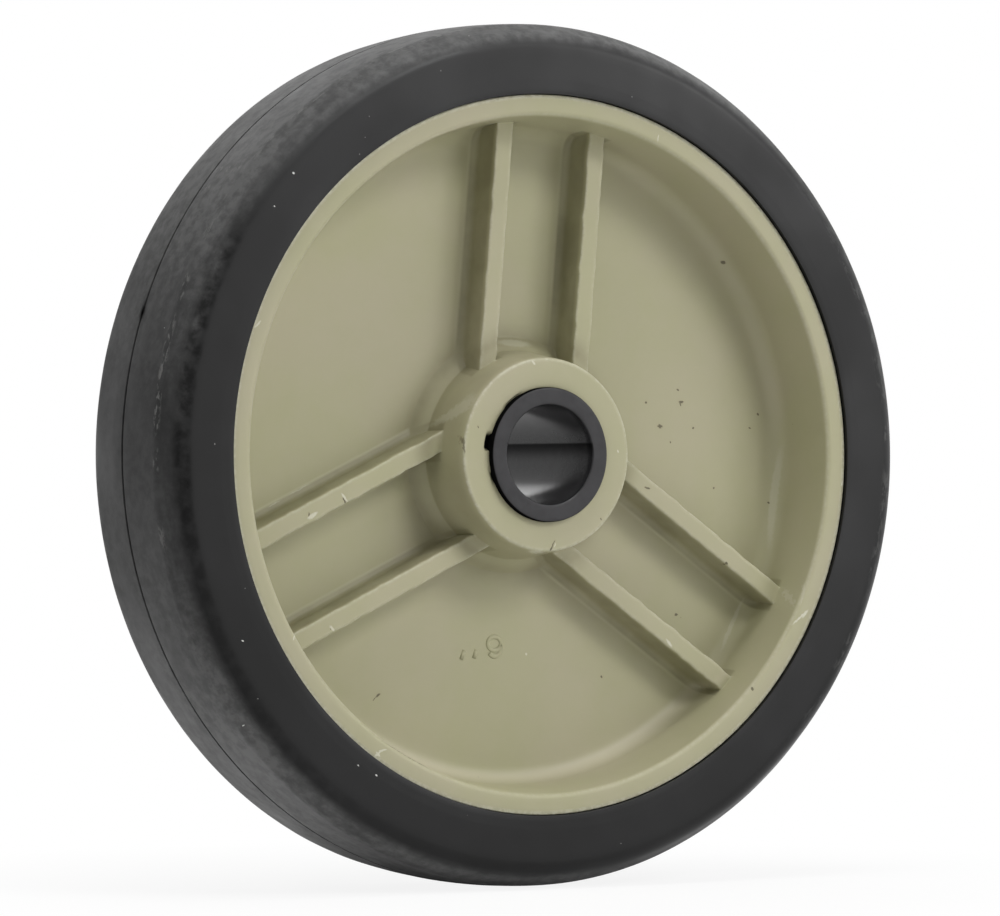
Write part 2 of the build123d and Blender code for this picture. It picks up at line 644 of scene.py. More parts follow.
@dataclass(frozen=True)
class PlasticFinish:
    """Olive beige moulded plastic with a satin skin, pale worn edges that also carry painted highlight,
    painted shade by the ribs and the boss, painted highlight streaks and a pale painted highlight in the
    rim's lower fillet, and a few nicks and specks.

    A share says how much of a tone is laid over the ones before it, and a
    floor how much of a mask is left where its noise is at its least.
    """

    tone: Tone = (0.425, 0.397, 0.272)
    green_tone: Tone = (0.402, 0.388, 0.243)
    cloud: Pattern = Pattern(38.0, 1.0, (0.36, 0.62))
    cloud_share: float = 0.75
    mottle: Pattern = Pattern(5.0, 2.0, (0.35, 0.7))
    mottle_share: float = 0.25
    # Painted shade: a darker tone laid on the boss foot, the boss side and the rib sides, where shade falls.
    painted_shade_tone: Tone = (0.185, 0.172, 0.098)
    painted_shade_patches: Pattern = Pattern(9.0, 5.0, (0.3, 0.7))
    painted_shade_floor: float = 0.5
    painted_shade_share: float = 0.75
    # Painted highlight: a pale ring along the rim's foot fillet, on its lower part, where light from above
    # falls.
    fillet_highlight_tone: Tone = (0.600, 0.560, 0.430)
    fillet_highlight_radius: float = 57.1
    fillet_highlight_reach: float = 1.7
    fillet_highlight_heights: tuple[float, float] = (-30.0, -50.0)
    fillet_highlight_share: float = 0.55
    # Pale wear, which also serves as painted highlight on the lips, the rim's outer edge and the rib tops.
    worn_and_highlight_tone: Tone = (0.600, 0.590, 0.470)
    chips: Pattern = Pattern(0.9, 4.0, detail=2.0)
    chip_levels: tuple[float, float] = (0.42, 0.6)
    chip_floor: float = 0.4
    worn_and_highlight_share: float = 0.8
    highlight_streak_share: float = 0.3
    speck_tone: Tone = (0.130, 0.115, 0.070)
    scratch_share: float = 0.7
    dust: SpeckNet = SpeckNet(6.5, 0.14, 6.0)
    dusty_places: Pattern = Pattern(20.0, 7.0, (0.48, 0.56))
    dust_share: float = 0.45
    uneven: Pattern = Pattern(0.5, 3.0)
    least_mark: float = 0.55
    uneven_share: float = 0.9
    roughness: float = 0.42
    dull_places: Pattern = Pattern(7.0, 8.0)
    dullness: float = 0.10
    worn_polish: float = 0.06
    swell: Pattern = Pattern(16.0, 9.0, detail=1.0)
    swell_height: float = 0.50
    skin_grain: Pattern = Pattern(1.4, 10.0, detail=1.0)
    skin_height: float = 0.06
    chip_height: float = 0.45
    bump_height: float = 0.14
    specular: float = 0.25
    ior: float = 1.5
    nicks: tuple[Mark, ...] = (
        Mark(-58.2, 21.9, 0.8, 0.2, 42), Mark(-34.6, -51.6, 0.9, 0.2, 35),
        Mark(-33.6, -51.0, 0.75, 0.16, 9), Mark(-34.5, -51.6, 0.6, 0.15, -45),
        Mark(53.2, -29.2, 1.8, 0.17, 37), Mark(54.4, -28.5, 0.9, 0.26, 47), Mark(62.7, -4.8, 0.6, 0.22, 62),
        Mark(-51.0, -31.3, 0.45, 0.15, 69), Mark(22.9, 56.2, 0.6, 0.1, 81),
        Mark(-39.7, -30.1, 0.6, 0.28, -46), Mark(-43.6, -10.6, 1.0, 0.32, 32),
        Mark(-37.2, -7.6, 1.0, 0.19, -49), Mark(29.7, -33.6, 0.9, 0.28, -49), Mark(3.6, -35.3, 0.24, 0.24),
        Mark(-2.7, 16.1, 0.4, 0.2, -47), Mark(-1.1, -17.1, 1.7, 0.2, -7), Mark(1.7, -15.8, 0.4, 0.1, 77),
        Mark(14.8, 0.6, 0.25, 0.16, -50),
    )
    dark_specks: tuple[Mark, ...] = (
        Mark(-40.0, -30.0, 0.4, 0.1, -97), Mark(-44.3, -10.5, 0.42, 0.12, -82),
        Mark(-37.3, -8.0, 0.6, 0.14, -60), Mark(29.6, -33.5, 0.23, 0.14, -68),
        Mark(25.0, -5.8, 0.62, 0.18, -16), Mark(42.0, -19.4, 0.3, 0.2, -29), Mark(28.9, 9.6, 0.2, 0.18),
        Mark(35.8, 11.9, 0.2, 0.16), Mark(36.5, 9.7, 0.5, 0.2), Mark(36.3, 9.3, 0.36, 0.14, -81),
        Mark(31.9, 5.3, 0.52, 0.2), Mark(31.9, 5.3, 0.42, 0.24, -79), Mark(39.1, 5.0, 0.22, 0.18),
        Mark(34.1, 2.4, 0.25, 0.14, -82), Mark(43.6, -5.8, 0.25, 0.16, 45),
        Mark(35.4, -28.7, 0.32, 0.24, -19), Mark(-26.8, -42.1, 0.53, 0.2, 31),
        Mark(-27.5, -42.6, 0.48, 0.09, 45), Mark(45.1, 35.1, 0.42, 0.27, -33),
        Mark(51.4, 5.1, 0.2, 0.14, -40), Mark(19.4, -39.6, 0.25, 0.18, -41), Mark(-33.2, 46.1, 0.17, 0.16),
        Mark(53.2, 7.6, 0.28, 0.2, -45), Mark(55.4, -8.5, 0.25, 0.2, -46),
        Mark(43.0, -41.8, 0.34, 0.28, -50), Mark(1.0, -16.3, 0.7, 0.15, 59),
        Mark(1.4, -15.5, 0.56, 0.09, 59), Mark(11.3, -11.3, 0.21, 0.14, -47),
        Mark(-14.1, 4.7, 0.22, 0.12, -74),
    )
    scratches: tuple[Mark, ...] = (
        Mark(-30.6, -51.0, 2.2, 0.08, -28), Mark(-26.8, -53.0, 2.4, 0.08, -27),
        Mark(-16.8, 1.6, 1.4, 0.13, 92),
    )
    # Painted highlights: pale streaks along fillets, rib sides and the boss foot, where they catch the light.
    highlight_streaks: tuple[Mark, ...] = (
        Mark(-15.8, 7.6, 3.4, 0.28, 54), Mark(-47.7, -8.6, 1.3, 0.1, 25), Mark(-42.8, -6.2, 2.1, 0.1, 25),
        Mark(53.2, -25.6, 1.6, 0.12, -107), Mark(54.1, -25.0, 2.0, 0.15, -108),
        Mark(47.2, -30.7, 4.8, 0.35, -118), Mark(56.3, -7.5, 8.5, 0.6, 82), Mark(0.5, 19.8, 3.2, 0.6, -3),
    )

    def material(self) -> bpy.types.Material:
        """Builds the material.

        Returns:
            A material that reads three masks of the centre's mesh: worn edges with painted highlight, painted
            shade, and gaps.
        """
        skin = Shader("olive_plastic")
        chips = skin.noise(self.chips)
        edges = skin.mask("worn")
        worn = edges * chips.rise(*self.chip_levels).over(self.chip_floor)
        dull = self.dullness * (skin.noise(self.dull_places) - 0.5)
        roughness = self.roughness + dull - self.worn_polish * worn
        height = (
            self.swell_height * skin.noise(self.swell)
            + self.skin_height * skin.noise(self.skin_grain)
            + self.chip_height * edges * (chips - 0.5)
        )
        base, black = self.colour(skin, worn), skin.mask("gap")
        return skin.finish(base, roughness, height, self.bump_height, black, self.ior, self.specular)

    def colour(self, skin: Shader, worn: Value) -> Value:
        """Lays the tones over each other, from the moulded ones to the marks.

        Args:
            skin: The material.
            worn: The mask of the worn edges, which also carries a painted highlight.

        Returns:
            The colour.
        """
        clouds = skin.noise(self.cloud) * self.cloud_share + skin.noise(self.mottle) * self.mottle_share
        # Painted shade at the boss foot, the boss side and the rib sides, in patches.
        grime = skin.mask("grime") * skin.noise(self.painted_shade_patches).over(self.painted_shade_floor)
        # Painted highlight along the lower part of the rim's foot fillet.
        ring = (skin.radius() - self.fillet_highlight_radius).size().rise(self.fillet_highlight_reach, 0.0)
        fillet_highlight = ring * skin.z.rise(*self.fillet_highlight_heights)
        # Pale wear on the edges together with the painted highlight streaks.
        pale_wear_and_highlights = (worn * self.worn_and_highlight_share).larger(skin.marks(self.highlight_streaks) * self.highlight_streak_share)
        uneven = self.least_mark + self.uneven_share * skin.noise(self.uneven)
        specks = skin.marks(self.dark_specks).larger(self.scratch_share * skin.marks(self.scratches))
        dust = skin.specks(self.dust) * skin.noise(self.dusty_places)
        base = skin.mix(clouds, self.tone, self.green_tone)
        base = skin.mix(grime * self.painted_shade_share, base, self.painted_shade_tone)
        base = skin.mix(fillet_highlight * self.fillet_highlight_share, base, self.fillet_highlight_tone)
        base = skin.mix(pale_wear_and_highlights, base, self.worn_and_highlight_tone)
        base = skin.mix((specks * uneven).larger(dust * self.dust_share), base, self.speck_tone)
        return skin.mix(skin.marks(self.nicks) * uneven, base, self.worn_and_highlight_tone)


@dataclass(frozen=True)
class RubberFinish:
    """Black moulded rubber: satin, with a dusty tread that carries painted sheen where light falls, scuffs on
    the shoulder that partly stand for a painted highlight on the right, blots on its left that are partly
    painted shade, and pale specks.

    A share says how much of a tone is laid over the ones before it, and a
    floor how much of a mask is left where its noise is at its least. Radii
    and heights are the places between which a mask rises or falls.
    """

    tone: Tone = (0.0110, 0.0110, 0.0113)
    dark_tone: Tone = (0.0060, 0.0060, 0.0060)
    cloud: Pattern = Pattern(30.0, 21.0, (0.34, 0.66))
    grain: Pattern = Pattern(2.2, 22.0, rough=0.65)
    stretch: float = 2.5
    shoulder_radius: float = 72.6
    shoulder_reach: float = 1.9
    # Dust, with painted highlight mixed in: more on the upper side, the upper left and the top of the slope,
    # where light falls from above, more on the lower left, standing for the floor's reflection, and a painted
    # sheen haze high on the side.
    dust_and_sheen_tone: Tone = (0.112, 0.112, 0.111)
    dust_everywhere: float = 0.08
    dust_and_sheen_far_up_or_down: float = 0.66
    far_heights: tuple[float, float] = (12.0, 50.0)
    dust_and_sheen_lower_left: float = 0.38
    lower_left_places: tuple[float, float] = (-55.0, -90.0)
    dust_and_sheen_upper_left: float = 0.45
    upper_left_places: tuple[float, float] = (40.0, 75.0)
    upper_left_heights: tuple[float, float] = (5.0, 35.0)
    patches: Pattern = Pattern(6.0, 23.0, (0.29, 0.57), detail=4.0, rough=0.6)
    patch_floor: float = 0.38
    slope_radii: tuple[float, float] = (71.6, 73.6)
    slope_heights: tuple[float, float] = (-5.0, 30.0)
    slope_dust: float = 0.30
    slope_patches: float = 0.40
    slope_top: float = 0.34
    slope_top_heights: tuple[float, float] = (50.0, 70.0)
    dust_grain_levels: tuple[float, float] = (0.3, 0.7)
    dust_grain_floor: float = 0.5
    sheen_haze_radii: tuple[float, float] = (62.0, 74.0)
    sheen_haze_heights: tuple[float, float] = (35.0, 70.0)
    sheen_haze_share: float = 0.08
    scuff_tone: Tone = (0.160, 0.160, 0.155)
    scuff_share: float = 0.8
    scuff_floor: float = 0.25
    tread_edge: float = 10.8
    tread_edge_reach: float = 1.0
    chafed: Pattern = Pattern(0.9, 28.0, (0.49, 0.60), rough=0.7)
    sparse: Pattern = Pattern(7.0, 31.0, (0.42, 0.56), detail=1.0)
    # Pale chafing on the right shoulder, partly painted highlight along that edge.
    right_places: tuple[float, float] = (45.0, 68.0)
    right_scuffs_and_highlight: float = 0.35
    speck_tone: Tone = (0.62, 0.62, 0.60)
    specks: SpeckNet = SpeckNet(5.5, 0.15, 25.0)
    speck_share: float = 0.6
    speck_floor: float = 0.3
    # Dull black blots, partly painted shade on the left of the shoulder.
    blotch: Pattern = Pattern(3.0, 24.0, (0.30, 0.66), rough=0.6)
    blot_places: tuple[float, float] = (-20.0, -55.0)
    blot_heights: tuple[float, float] = (48.0, 30.0)
    blot_share: float = 0.25
    upper_blot_share: float = 0.45
    upper_blot_heights: tuple[float, float] = (-35.0, 5.0)
    roughness: float = 0.38
    cloud_dullness: float = 0.14
    patch_dullness: float = 0.16
    slope_dullness: float = 0.15
    swell: Pattern = Pattern(11.0, 27.0, detail=1.0)
    swell_height: float = 0.30
    grain_height: float = 0.10
    bump_height: float = 0.12
    specular: float = 0.24
    ior: float = 1.48
    scuff_marks: tuple[Mark, ...] = (
        Mark(-61.6, 45.5, 1.5, 0.45, 46), Mark(-58.3, 48.8, 0.7, 0.3, 44),
    )
    pale_specks: tuple[Mark, ...] = (
        Mark(-51.5, 47.8, 0.25, 0.16, -25), Mark(-59.1, -46.3, 0.14, 0.13),
        Mark(-55.2, 42.0, 0.15, 0.12, -40), Mark(-61.4, -31.8, 0.2, 0.11, -42),
        Mark(-38.9, -53.4, 0.19, 0.13, -29), Mark(-35.3, -55.2, 0.22, 0.16, -36),
    )

    def material(self) -> bpy.types.Material:
        """Builds the material.

        Returns:
            A material that reads the masks "tread" and "gap" of the tyre's mesh.
        """
        skin = Shader("black_rubber")
        tread = skin.mask("tread")
        cloud = skin.noise(self.cloud)
        grain = skin.noise(self.grain)
        around = skin.ringwise(self.stretch)
        patches = skin.noise(self.patches, around)
        slope = skin.radius().rise(*self.slope_radii) * skin.z.rise(*self.slope_heights)
        upper_left = (skin.z - skin.x).rise(*self.upper_left_places)
        shoulder = (skin.radius() - self.shoulder_radius).size()
        shoulder = shoulder.rise(self.shoulder_reach, 0.3 * self.shoulder_reach)
        specks = skin.specks(self.specks) * cloud.over(self.speck_floor)
        # Dust with painted sheen on the upper side and the lower left.
        dust = self.dust(skin, tread, grain, patches, slope, upper_left)
        scuffs = self.scuffs(skin, around, shoulder, upper_left)
        base = skin.mix(cloud, self.tone, self.dark_tone)
        base = skin.mix(dust, base, self.dust_and_sheen_tone)
        base = skin.mix(scuffs * self.scuff_share, base, self.scuff_tone)
        base = skin.mix(skin.marks(self.pale_specks).larger(self.speck_share * specks), base, self.speck_tone)
        dull = self.cloud_dullness * (cloud - 0.5) + self.patch_dullness * tread * patches
        roughness = self.roughness + dull + self.slope_dullness * slope
        height = self.swell_height * skin.noise(self.swell) + self.grain_height * grain
        black = self.blots_and_shade(skin, shoulder).larger(skin.mask("gap"))
        return skin.finish(base, roughness, height, self.bump_height, black, self.ior, self.specular)

    def dust(
        self, skin: Shader, tread: Value, grain: Value, patches: Value, slope: Value, upper_left: Value
    ) -> Value:
        """How dusty the rubber is, with painted highlight mixed in: the tread in patches, more where light
        falls from above and on the lower left for the floor's reflection, the shoulder's slope, and a painted
        sheen haze on the upper side.

        Args:
            skin: The material.
            tread: The mask of the tread.
            grain: The fine noise.
            patches: The patches, drawn out round the wheel.
            slope: The mask of the shoulder's slope, above the axle.
            upper_left: The mask of the upper left.

        Returns:
            The share of dust and painted sheen.
        """
        spread = (
            self.dust_everywhere
            + self.dust_and_sheen_far_up_or_down * skin.z.size().rise(*self.far_heights)
            + self.dust_and_sheen_lower_left * (skin.z + skin.x).rise(*self.lower_left_places)
            + self.dust_and_sheen_upper_left * upper_left * skin.z.rise(*self.upper_left_heights)
        )
        dusty_slope = self.slope_dust + self.slope_patches * patches
        dusty_slope = dusty_slope + self.slope_top * skin.z.rise(*self.slope_top_heights)
        dusty = (tread * spread * patches.over(self.patch_floor)).larger(slope * dusty_slope)
        # A painted sheen haze high on the side.
        sheen_haze = skin.radius().rise(*self.sheen_haze_radii) * skin.z.rise(*self.sheen_haze_heights)
        fine = grain.rise(*self.dust_grain_levels).over(self.dust_grain_floor)
        return (dusty * fine).larger(self.sheen_haze_share * sheen_haze)

    def scuffs(self, skin: Shader, around: Value, shoulder: Value, upper_left: Value) -> Value:
        """Where the rubber is chafed pale: the tread's edge, the shoulder on the right, where the pale
        chafing also stands for a painted highlight along that edge, and two marks.

        Args:
            skin: The material.
            around: The place for patterns that run round the wheel.
            shoulder: The mask of the shoulder.
            upper_left: The mask of the upper left.

        Returns:
            The mask of the scuffs.
        """
        from_edge = (skin.y.size() - self.tread_edge).size()
        edge = from_edge.rise(self.tread_edge_reach, 0.2 * self.tread_edge_reach)
        right = shoulder * skin.x.rise(*self.right_places) * self.right_scuffs_and_highlight
        chafed = skin.noise(self.chafed, around)
        scuffs = (edge * upper_left.over(self.scuff_floor)).larger(right) * chafed * skin.noise(self.sparse)
        return scuffs.larger(skin.marks(self.scuff_marks) * chafed)

    def blots_and_shade(self, skin: Shader, shoulder: Value) -> Value:
        """Dull black blots on the left of the shoulder, partly painted shade where that side of the shoulder
        lies dark.

        Args:
            skin: The material.
            shoulder: The mask of the shoulder.

        Returns:
            The share of dull black.
        """
        left = skin.x.rise(*self.blot_places) * skin.z.rise(*self.blot_heights)
        share = self.blot_share + self.upper_blot_share * skin.z.rise(*self.upper_blot_heights)
        return shoulder * skin.noise(self.blotch) * left * share


@dataclass(frozen=True)
class BushFinish:
    """Black moulded plastic, dull on the end faces and smoother in the bore, with a band of painted shade
    along the bore and painted shade on the outer side.
    """

    tone: Tone = (0.036, 0.035, 0.037)
    dark_tone: Tone = (0.006, 0.006, 0.006)
    face_roughness: float = 0.5
    bore_roughness: float = 0.24
    grain: Pattern = Pattern(2.5, 41.0, detail=4.0)
    grain_levels: tuple[float, float] = (0.35, 0.7)
    grain_dark: float = 0.25
    grain_dullness: float = 0.10
    grain_height: float = 0.4
    bore_dark: float = 0.4
    bore_edge: tuple[float, float] = (0.35, 0.1)
    shaded_side_edge: tuple[float, float] = (-0.15, -0.03)
    lines: Pattern = Pattern(2.0, 42.0)
    line_stretch: float = 6.0
    line_height: float = 0.6
    bump_height: float = 0.02
    # Painted shade: a dull black band along the bore at mid-height.
    band_top: float = 1.9
    band_bottom: float = -1.4
    band_edge: float = 0.4
    band_black: float = 0.8
    specular: float = 0.25
    ior: float = 1.5

    def material(self, sizes: FrameSizes) -> bpy.types.Material:
        """Builds the material.

        Args:
            sizes: The sizes that tell the bore and the outer side from the faces.

        Returns:
            The material.
        """
        skin = Shader("black_plastic")
        bore = skin.radius().rise(*(sizes.bore_radius + edge for edge in self.bore_edge))
        # Painted shade: the bush's outer side turns dull black.
        side = skin.radius().rise(*(sizes.bush_radius + edge for edge in self.shaded_side_edge))
        grain = skin.noise(self.grain)
        # Painted shade: a dull black band along the bore at mid-height.
        band = skin.z.rise(self.band_bottom, self.band_top)
        band = band * skin.z.rise(self.band_top + self.band_edge, self.band_top) * bore
        dark = grain.rise(*self.grain_levels) * self.grain_dark + bore * self.bore_dark
        base = skin.mix(dark, self.tone, self.dark_tone)
        roughness = self.face_roughness + (self.bore_roughness - self.face_roughness) * bore
        roughness = roughness + self.grain_dullness * (grain - 0.5)
        lines = skin.noise(self.lines, skin.ringwise(self.line_stretch))
        height = self.line_height * lines + self.grain_height * grain
        black = (band * self.band_black).larger(side)
        return skin.finish(base, roughness, height, self.bump_height, black, self.ior, self.specular)


@dataclass
class Tyre:
    """The rubber tyre: a crowned tread, sloped and rounded shoulders and flat sides."""

    sizes: FrameSizes
    finish: RubberFinish = field(default_factory=RubberFinish)
    tread_crown: float = 0.48
    tread_edge_to_middle: float = 10.8
    shoulder_slope: float = 27.0
    shoulder_round: float = 3.6
    side_crown: float = 0.3
    side_crown_width: float = 7.5
    side_crown_round: float = 9.0
    thickness: float = 13.1
    groove_half_width: float = 0.32
    groove_floor: float = 0.16
    groove_depth: float = 0.35
    lip_round: float = 0.08
    lip_gap: float = 0.06
    lip_gap_depth: float = 1.6
    columns: int = 640
    tread_spans: int = 12
    tread_mask_drop: float = 3.0
    tread_mask_blend: float = 1.5
    nub_angle: float = 161.4
    nub_length: float = 1.5
    nub_half_width: float = 0.8
    ripple: float = 0.035
    ripple_waves: int = 26
    ripple_turns: tuple[int, int] = (3, 60)
    ripple_across: tuple[float, float] = (0.05, 0.5)
    hidden_half_width: float = 14.0
    sharp_angle: float = 35.0

    @property
    def rim_radius(self) -> float:
        """The radius of its seat on the rim."""
        return self.sizes.tread_radius - self.thickness

    def tread_points(self) -> np.ndarray:
        """The crowned tread, from the groove to its edge.

        Its distance from the axle is the tread radius less the crown times
        the square of the share of the way to the edge.

        Returns:
            Rows of distance from the axle and distance from the middle plane.
        """
        across = np.linspace(self.groove_half_width, self.tread_edge_to_middle, self.tread_spans + 1)
        radius = self.sizes.tread_radius - self.tread_crown * (across / self.tread_edge_to_middle) ** 2
        return np.stack([radius, across], axis=-1)

    def half_section(self) -> np.ndarray:
        """The section of one side, from the parting groove over the shoulder to the seat on the rim.

        Returns:
            Rows of distance from the axle and distance from the middle plane.
        """
        half_width = self.sizes.tyre_half_width
        rim_radius, key = self.rim_radius, self.sizes.key
        edge_radius = self.sizes.tread_radius - self.tread_crown
        corner_drop = (half_width - self.tread_edge_to_middle) * math.tan(math.radians(self.shoulder_slope))
        corner_radius = edge_radius - corner_drop
        crown_radius = corner_radius - self.side_crown_width
        gap_radius = rim_radius + self.lip_gap
        gap_floor = half_width - self.lip_gap_depth
        groove_radius = self.sizes.tread_radius - self.groove_depth
        groove = np.array([[groove_radius, 0.0], [groove_radius, self.groove_floor]])
        side = rounded_path(
            [
                Corner(edge_radius, self.tread_edge_to_middle),
                Corner(corner_radius, half_width - self.side_crown, self.shoulder_round, 0.9, 7),
                Corner(crown_radius, half_width, self.side_crown_round, 1.2, 4),
                Corner(gap_radius, half_width, self.lip_round, 1.2, 4),
                Corner(gap_radius, gap_floor, 0.0, 0.7),
                Corner(rim_radius, gap_floor - self.lip_gap, 0.0, 1.0),
                Corner(rim_radius, key.foot_half_width, 0.0, 4.0),
                Corner(rim_radius + key.height, key.half_width),
                Corner(rim_radius + key.height, 0.0, 0.0, 3.0),
            ]
        )
        return np.concatenate([groove, self.tread_points(), side[1:]])

    def ripples(self, section: np.ndarray, angles: np.ndarray) -> np.ndarray:
        """How far the skin lies below its true form, from 0 to twice the ripple.

        It is a sum of waves that run round the tyre and across it, each with
        a seeded phase and a strength that falls with its number of turns.

        Args:
            section: The closed section.
            angles: The angles of the columns.

        Returns:
            One depth for each point of the grid.
        """
        draw = np.random.default_rng(7)
        turns = draw.integers(*self.ripple_turns, self.ripple_waves)
        across = draw.uniform(*self.ripple_across, self.ripple_waves)
        phase = draw.uniform(0, 2 * math.pi, self.ripple_waves)
        strength = 1 / np.sqrt(turns)
        way = np.concatenate([[0], np.cumsum(np.linalg.norm(np.diff(section, axis=0), axis=1))])
        wave = np.zeros((len(section), len(angles)))
        for k in range(self.ripple_waves):
            wave += strength[k] * np.sin(turns[k] * angles[None, :] + across[k] * way[:, None] + phase[k])
        return self.ripple * (1 - wave / np.abs(wave).max())

    def open_skin(self, radius: np.ndarray, along: np.ndarray) -> np.ndarray:
        """Where the skin may ripple: 1 outside and 0 on the seat, the key and the gap beside the lip.

        Args:
            radius: Distances from the axle.
            along: Places along Y.

        Returns:
            The mask.
        """
        over_rim = radius - self.rim_radius
        clear_of_gap = np.clip((over_rim - 3 * self.lip_gap) / 2, 0, 1)
        over_key = over_rim - self.sizes.key.height
        clear_of_key = np.clip(over_key + np.abs(along) - self.hidden_half_width, 0, 1)
        return clear_of_gap * clear_of_key

    def gap_mask(
        self, radius: np.ndarray, along: np.ndarray, angles: np.ndarray, tread: np.ndarray
    ) -> np.ndarray:
        """Where no light gets in: the gap beside the rim's lip, the parting groove and one nub on it.

        The nub fades out as the bell of the way along the groove from its
        middle over its length.

        Args:
            radius: Distances from the axle.
            along: Places along Y.
            angles: The angles of the columns.
            tread: The mask of the tread.

        Returns:
            The mask.
        """
        below_lip = self.sizes.tyre_half_width - np.abs(along)
        in_gap = radius < self.rim_radius + 1.2 * self.lip_gap
        beside_lip = in_gap * np.clip((below_lip - 0.4) / 0.5, 0, 1)
        in_groove = (np.abs(along) < 1.5 * self.groove_floor) & (tread == 1)
        from_nub = (angles - math.radians(self.nub_angle)) * self.sizes.tread_radius / self.nub_length
        nub = np.exp(-(from_nub**2)) * (np.abs(along) < self.nub_half_width) * (tread == 1)
        return np.maximum(np.maximum(beside_lip, in_groove), nub)

    def build(self) -> bpy.types.Object:
        """Builds and dresses the tyre.

        Returns:
            The piece that stands for the solid tyre.
        """
        section = both_sides(self.half_section())
        angles = np.linspace(0, 2 * math.pi, self.columns, endpoint=False)
        radius, along = (np.repeat(section[:, axis, None], self.columns, axis=1) for axis in (0, 1))
        tread_foot = self.sizes.tread_radius - self.tread_mask_drop
        tread = np.clip((radius - tread_foot) / self.tread_mask_blend, 0, 1)
        sink = self.ripples(section, angles) * self.open_skin(radius, along)
        along = along - np.sign(along) * sink * (1 - tread)
        radius = radius - sink * tread
        masks = {"tread": tread, "gap": self.gap_mask(radius, along, angles, tread)}
        grid = turned(radius, along, angles)
        piece = closed_grid_object("rubber_tyre", grid, self.sharp_angle, masks)
        attach(piece, "tyre", "tyre", self.finish.material())
        return piece


@dataclass(frozen=True)
class MouthNotch:
    """A chipped place in the boss face at the bush: its angle, half width and reach, and its depth."""

    angle: float
    half_width: float
    reach: float
    depth: float


